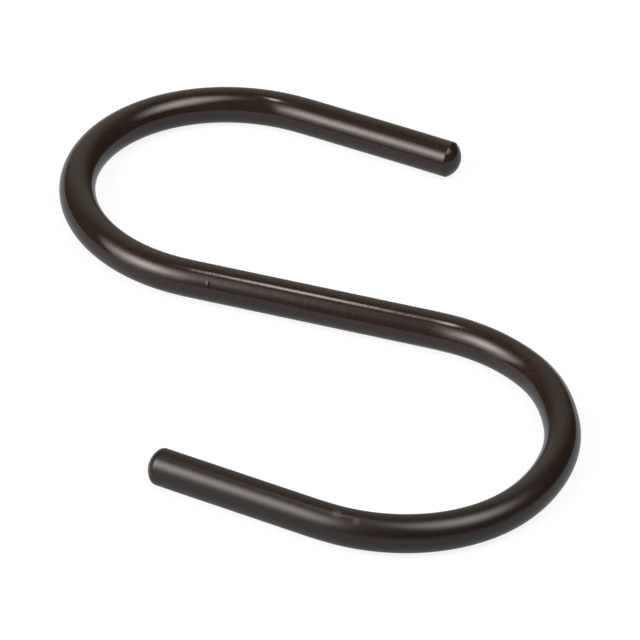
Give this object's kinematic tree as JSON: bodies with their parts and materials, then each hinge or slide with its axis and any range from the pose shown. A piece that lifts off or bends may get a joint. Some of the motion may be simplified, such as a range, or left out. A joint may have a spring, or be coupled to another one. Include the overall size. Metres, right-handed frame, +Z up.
{
  "type": "s hook",
  "caption": "Open S hook bent flat from one round steel rod, with two deep hooks, a straight shank and domed ends, in a dark brown coat, lying on its side.",
  "frame": {"origin": "under the middle of the shank, on the plane that the rod rests on, which is the centre of the underside of the box", "axes": "+Z up from the surface it lies on, through the rod's thickness; X along the straight shank; Y across it, from hook to hook"},
  "size_m": [0.1, 0.11, 0.006],
  "materials": {
    "coat": "dark brown semi-gloss powder coat"
  },
  "bodies": {
    "root": {"hook": "coat"}
  },
  "joints": []
}
